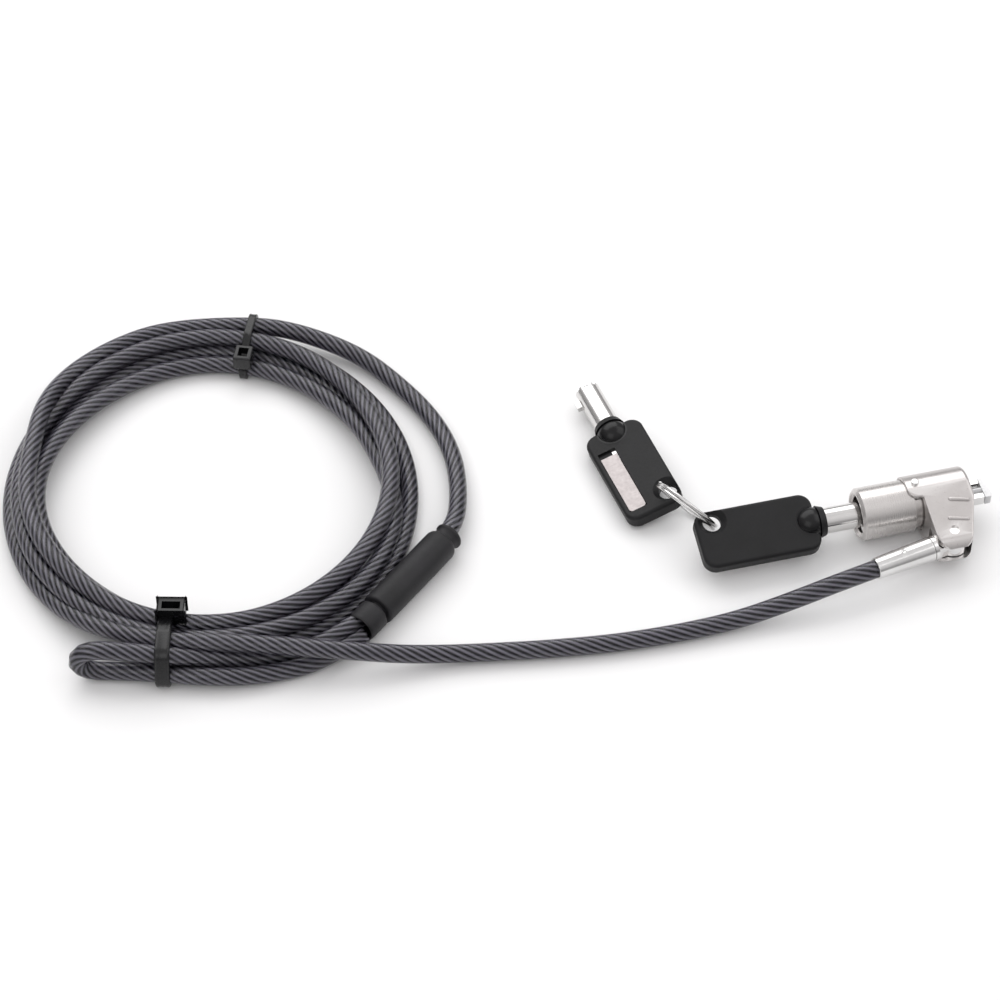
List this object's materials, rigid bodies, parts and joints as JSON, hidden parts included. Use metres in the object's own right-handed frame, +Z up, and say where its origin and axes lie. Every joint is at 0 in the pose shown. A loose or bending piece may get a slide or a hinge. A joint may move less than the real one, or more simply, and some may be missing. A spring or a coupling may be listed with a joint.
{
  "type": "laptop cable lock",
  "caption": "T-bar laptop cable lock: swivelling lock head on a pivoting yoke, steel cable in a tied coil with a crimped eye, and two tubular keys on a split ring",
  "frame": {"origin": "on the table, under the middle of the lock head and keys (the cable, its ties and its eye left out)", "axes": "+X along the lock towards the T-bar, +Z up from the table"},
  "size_m": [0.2387, 0.1346, 0.0196],
  "materials": {
    "steel_cable": "charcoal steel rope under a clear glossy jacket",
    "black_tie": "black nylon",
    "black_cover": "black moulded sleeve",
    "crimp": "plain aluminium crimp",
    "nickel": "bright nickel plate",
    "satin_nickel": "satin nickel plated zinc casting",
    "steel": "plain hardened steel",
    "brass": "plain turned brass",
    "key_plastic": "black moulded plastic with a fine grain",
    "label_metal": "blank pale label plate"
  },
  "bodies": {
    "cable": {"cable_coil": "steel_cable", "cable_run": "steel_cable", "cable_tail": "steel_cable", "cable_eye": "steel_cable", "cable_tie_top": "black_tie", "cable_tie_bottom": "black_tie", "eye_sleeve": "black_cover", "eye_sleeve_collar": "black_cover", "eye_crimp": "crimp", "cable_ferrule": "nickel", "ferrule_tongue": "nickel"},
    "yoke": {"yoke": "satin_nickel", "yoke_pivot_pin": "steel", "swivel_pin": "steel"},
    "lock_body": {"lock_barrel": "satin_nickel", "pin_housing": "brass", "housing_cross_pin": "steel", "driver_pins": "brass", "driver_springs": "steel", "nose_block": "satin_nickel"},
    "rotor": {"lock_plug": "brass", "key_pins": "brass", "spindle": "steel", "spindle_clip": "steel", "t_bar": "steel"},
    "key_b": {"key_b_tube": "nickel", "key_b_bow": "key_plastic", "key_b_label_plate": "label_metal"},
    "split_ring": {"split_ring": "nickel"},
    "key_a": {"key_a_tube": "nickel", "key_a_bow": "key_plastic", "key_a_label_plate": "label_metal"}
  },
  "joints": [
    {"name": "yoke_swing", "type": "hinge", "parent": "cable", "child": "yoke", "pos_m": [0.03212, -0.03354, 0.0072], "axis": [0, 0, 1], "range_deg": [-80, 7]},
    {"name": "head_swivel", "type": "hinge", "parent": "yoke", "child": "lock_body", "pos_m": [0.03182, -0.01964, 0.0072], "axis": [1, 0, 0], "continuous": true},
    {"name": "plug_turn", "type": "hinge", "parent": "lock_body", "child": "rotor", "pos_m": [0.02182, -0.01964, 0.0072], "axis": [1, 0, 0], "range_deg": [0, 90]},
    {"name": "key_b_slide", "type": "slide", "parent": "rotor", "child": "key_b", "axis": [-1, 0, 0], "range_m": [0, 0.012]},
    {"name": "ring_turn", "type": "hinge", "parent": "key_b", "child": "split_ring", "pos_m": [-0.02398, -0.01507, 0.00851], "axis": [0, -0.2756, 0.9613], "range_deg": [-25, 25]},
    {"name": "key_a_turn", "type": "hinge", "parent": "split_ring", "child": "key_a", "pos_m": [-0.03048, 0.00023, 0.0053], "axis": [-0.2396, -0.0337, 0.9703], "range_deg": [-40, 40]}
  ]
}
